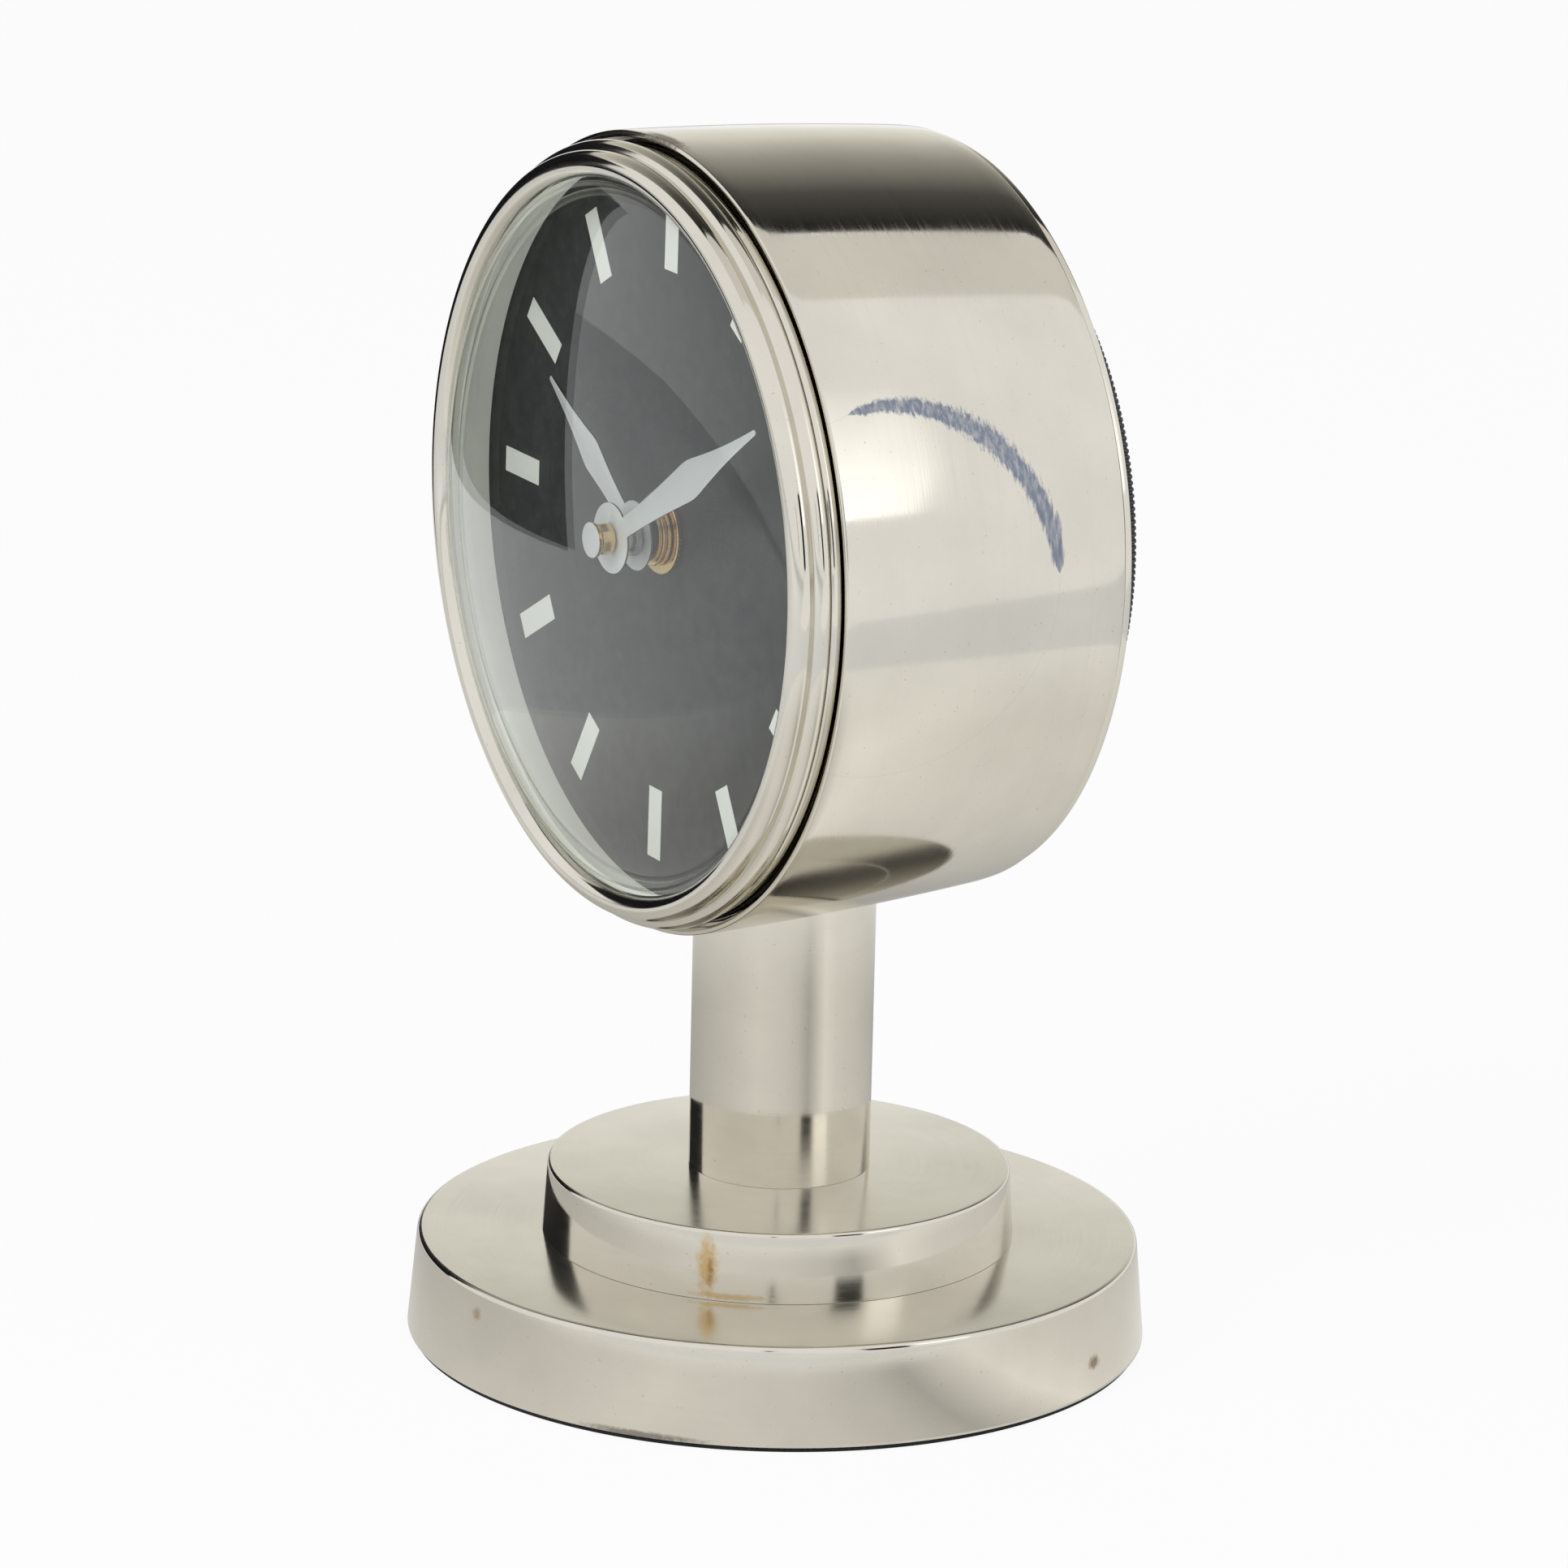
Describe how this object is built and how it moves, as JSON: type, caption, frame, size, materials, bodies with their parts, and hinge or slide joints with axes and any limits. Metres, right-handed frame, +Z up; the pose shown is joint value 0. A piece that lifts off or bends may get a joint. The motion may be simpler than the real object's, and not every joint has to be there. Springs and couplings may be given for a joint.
{
  "type": "table clock",
  "caption": "Round quartz table clock: polished drum case with two hands on a slim stem and a stepped round base.",
  "frame": {"origin": "centre of the underside of the base pad, on the table", "axes": "+Z up, -Y out of the dial towards the viewer, +X to the dial's right"},
  "size_m": [0.15, 0.142, 0.235],
  "materials": {
    "polished_nickel": "polished nickel plate with fine turning marks",
    "nickelled_casting": "polished nickel plate on an aluminium casting",
    "black_felt": "thin black pad",
    "zinced_steel": "zinc-plated steel",
    "charcoal_dial": "satin charcoal paint with printed pale bars",
    "grey_cream_plastic": "satin grey-cream plastic",
    "clear_glass": "clear domed glass",
    "black_plastic": "moulded charcoal plastic",
    "black_rubber": "black rubber",
    "brass": "bright turned brass",
    "white_nylon": "white nylon",
    "enamelled_copper": "enamelled copper winding",
    "circuit_green": "green circuit board",
    "cell_jacket": "printed cell jacket",
    "silver_paint": "satin silver paint"
  },
  "bodies": {
    "clock_case": {"base_pad": "black_felt", "base_plate": "nickelled_casting", "base_step": "nickelled_casting", "stem_tube": "polished_nickel", "tie_rod": "zinced_steel", "base_washer": "zinced_steel", "drum_washer": "zinced_steel", "base_nut": "zinced_steel", "drum_nut": "zinced_steel", "case_drum": "nickelled_casting", "dial_plate": "charcoal_dial", "spacer_ring": "grey_cream_plastic", "glass_lens": "clear_glass", "bezel_ring": "nickelled_casting", "back_plate": "nickelled_casting", "movement_front": "black_plastic", "movement_back": "black_plastic", "rubber_washer": "black_rubber", "brass_washer": "brass", "bushing_nut": "brass", "stator_plate": "zinced_steel", "drive_coil": "enamelled_copper", "circuit_board": "circuit_green", "quartz_crystal": "zinced_steel", "battery_contact_plus": "zinced_steel", "battery_contact_minus": "zinced_steel"},
    "minute_drive": {"minute_arbor": "zinced_steel", "minute_hand": "silver_paint", "minute_hand_bush": "brass", "hand_cap": "silver_paint"},
    "hour_drive": {"hour_wheel": "white_nylon", "hour_hand": "silver_paint", "hour_hand_bush": "brass"},
    "setting_drive": {"minute_wheel": "white_nylon", "set_knob": "black_plastic"},
    "centre_wheel_body": {"centre_wheel": "brass"},
    "third_wheel_body": {"third_wheel": "brass"},
    "second_wheel_body": {"second_wheel": "brass"},
    "intermediate_wheel_body": {"intermediate_wheel": "white_nylon"},
    "rotor_body": {"step_rotor": "black_rubber"},
    "cover_body": {"rear_cover": "black_plastic"},
    "battery_body": {"battery": "cell_jacket"}
  },
  "joints": [
    {"name": "minute_turn", "type": "hinge", "parent": "clock_case", "child": "minute_drive", "pos_m": [0, 0, 0.16], "axis": [0, 1, 0], "continuous": true},
    {"name": "hour_turn", "type": "hinge", "parent": "clock_case", "child": "hour_drive", "pos_m": [0, 0, 0.16], "axis": [0, 1, 0], "continuous": true},
    {"name": "setting_turn", "type": "hinge", "parent": "clock_case", "child": "setting_drive", "pos_m": [0, 0, 0.1684], "axis": [0, 1, 0], "continuous": true},
    {"name": "second_turn", "type": "hinge", "parent": "clock_case", "child": "second_wheel_body", "pos_m": [0.0106, 0, 0.16589], "axis": [0, 1, 0], "continuous": true},
    {"name": "third_turn", "type": "hinge", "parent": "clock_case", "child": "third_wheel_body", "pos_m": [0.0072, 0, 0.16], "axis": [0, 1, 0], "continuous": true},
    {"name": "centre_turn", "type": "hinge", "parent": "clock_case", "child": "centre_wheel_body", "pos_m": [0, 0, 0.16], "axis": [0, 1, 0], "continuous": true},
    {"name": "intermediate_turn", "type": "hinge", "parent": "clock_case", "child": "intermediate_wheel_body", "pos_m": [0.00935, 0, 0.17298], "axis": [0, 1, 0], "continuous": true},
    {"name": "rotor_turn", "type": "hinge", "parent": "clock_case", "child": "rotor_body", "pos_m": [0.01635, 0, 0.17298], "axis": [0, 1, 0], "continuous": true},
    {"name": "cover_pull", "type": "slide", "parent": "clock_case", "child": "cover_body", "axis": [0, 1, 0], "range_m": [0, 0.06]},
    {"name": "battery_slide", "type": "slide", "parent": "clock_case", "child": "battery_body", "axis": [0, 1, 0], "range_m": [0, 0.04]}
  ],
  "couplings": [
    {"joint": "hour_turn", "follows": "minute_turn", "ratio": 0.083333},
    {"joint": "setting_turn", "follows": "minute_turn", "ratio": -0.33333},
    {"joint": "third_turn", "follows": "second_turn", "ratio": -0.13333},
    {"joint": "centre_turn", "follows": "second_turn", "ratio": 0.016667},
    {"joint": "intermediate_turn", "follows": "second_turn", "ratio": -5},
    {"joint": "rotor_turn", "follows": "second_turn", "ratio": 30}
  ]
}
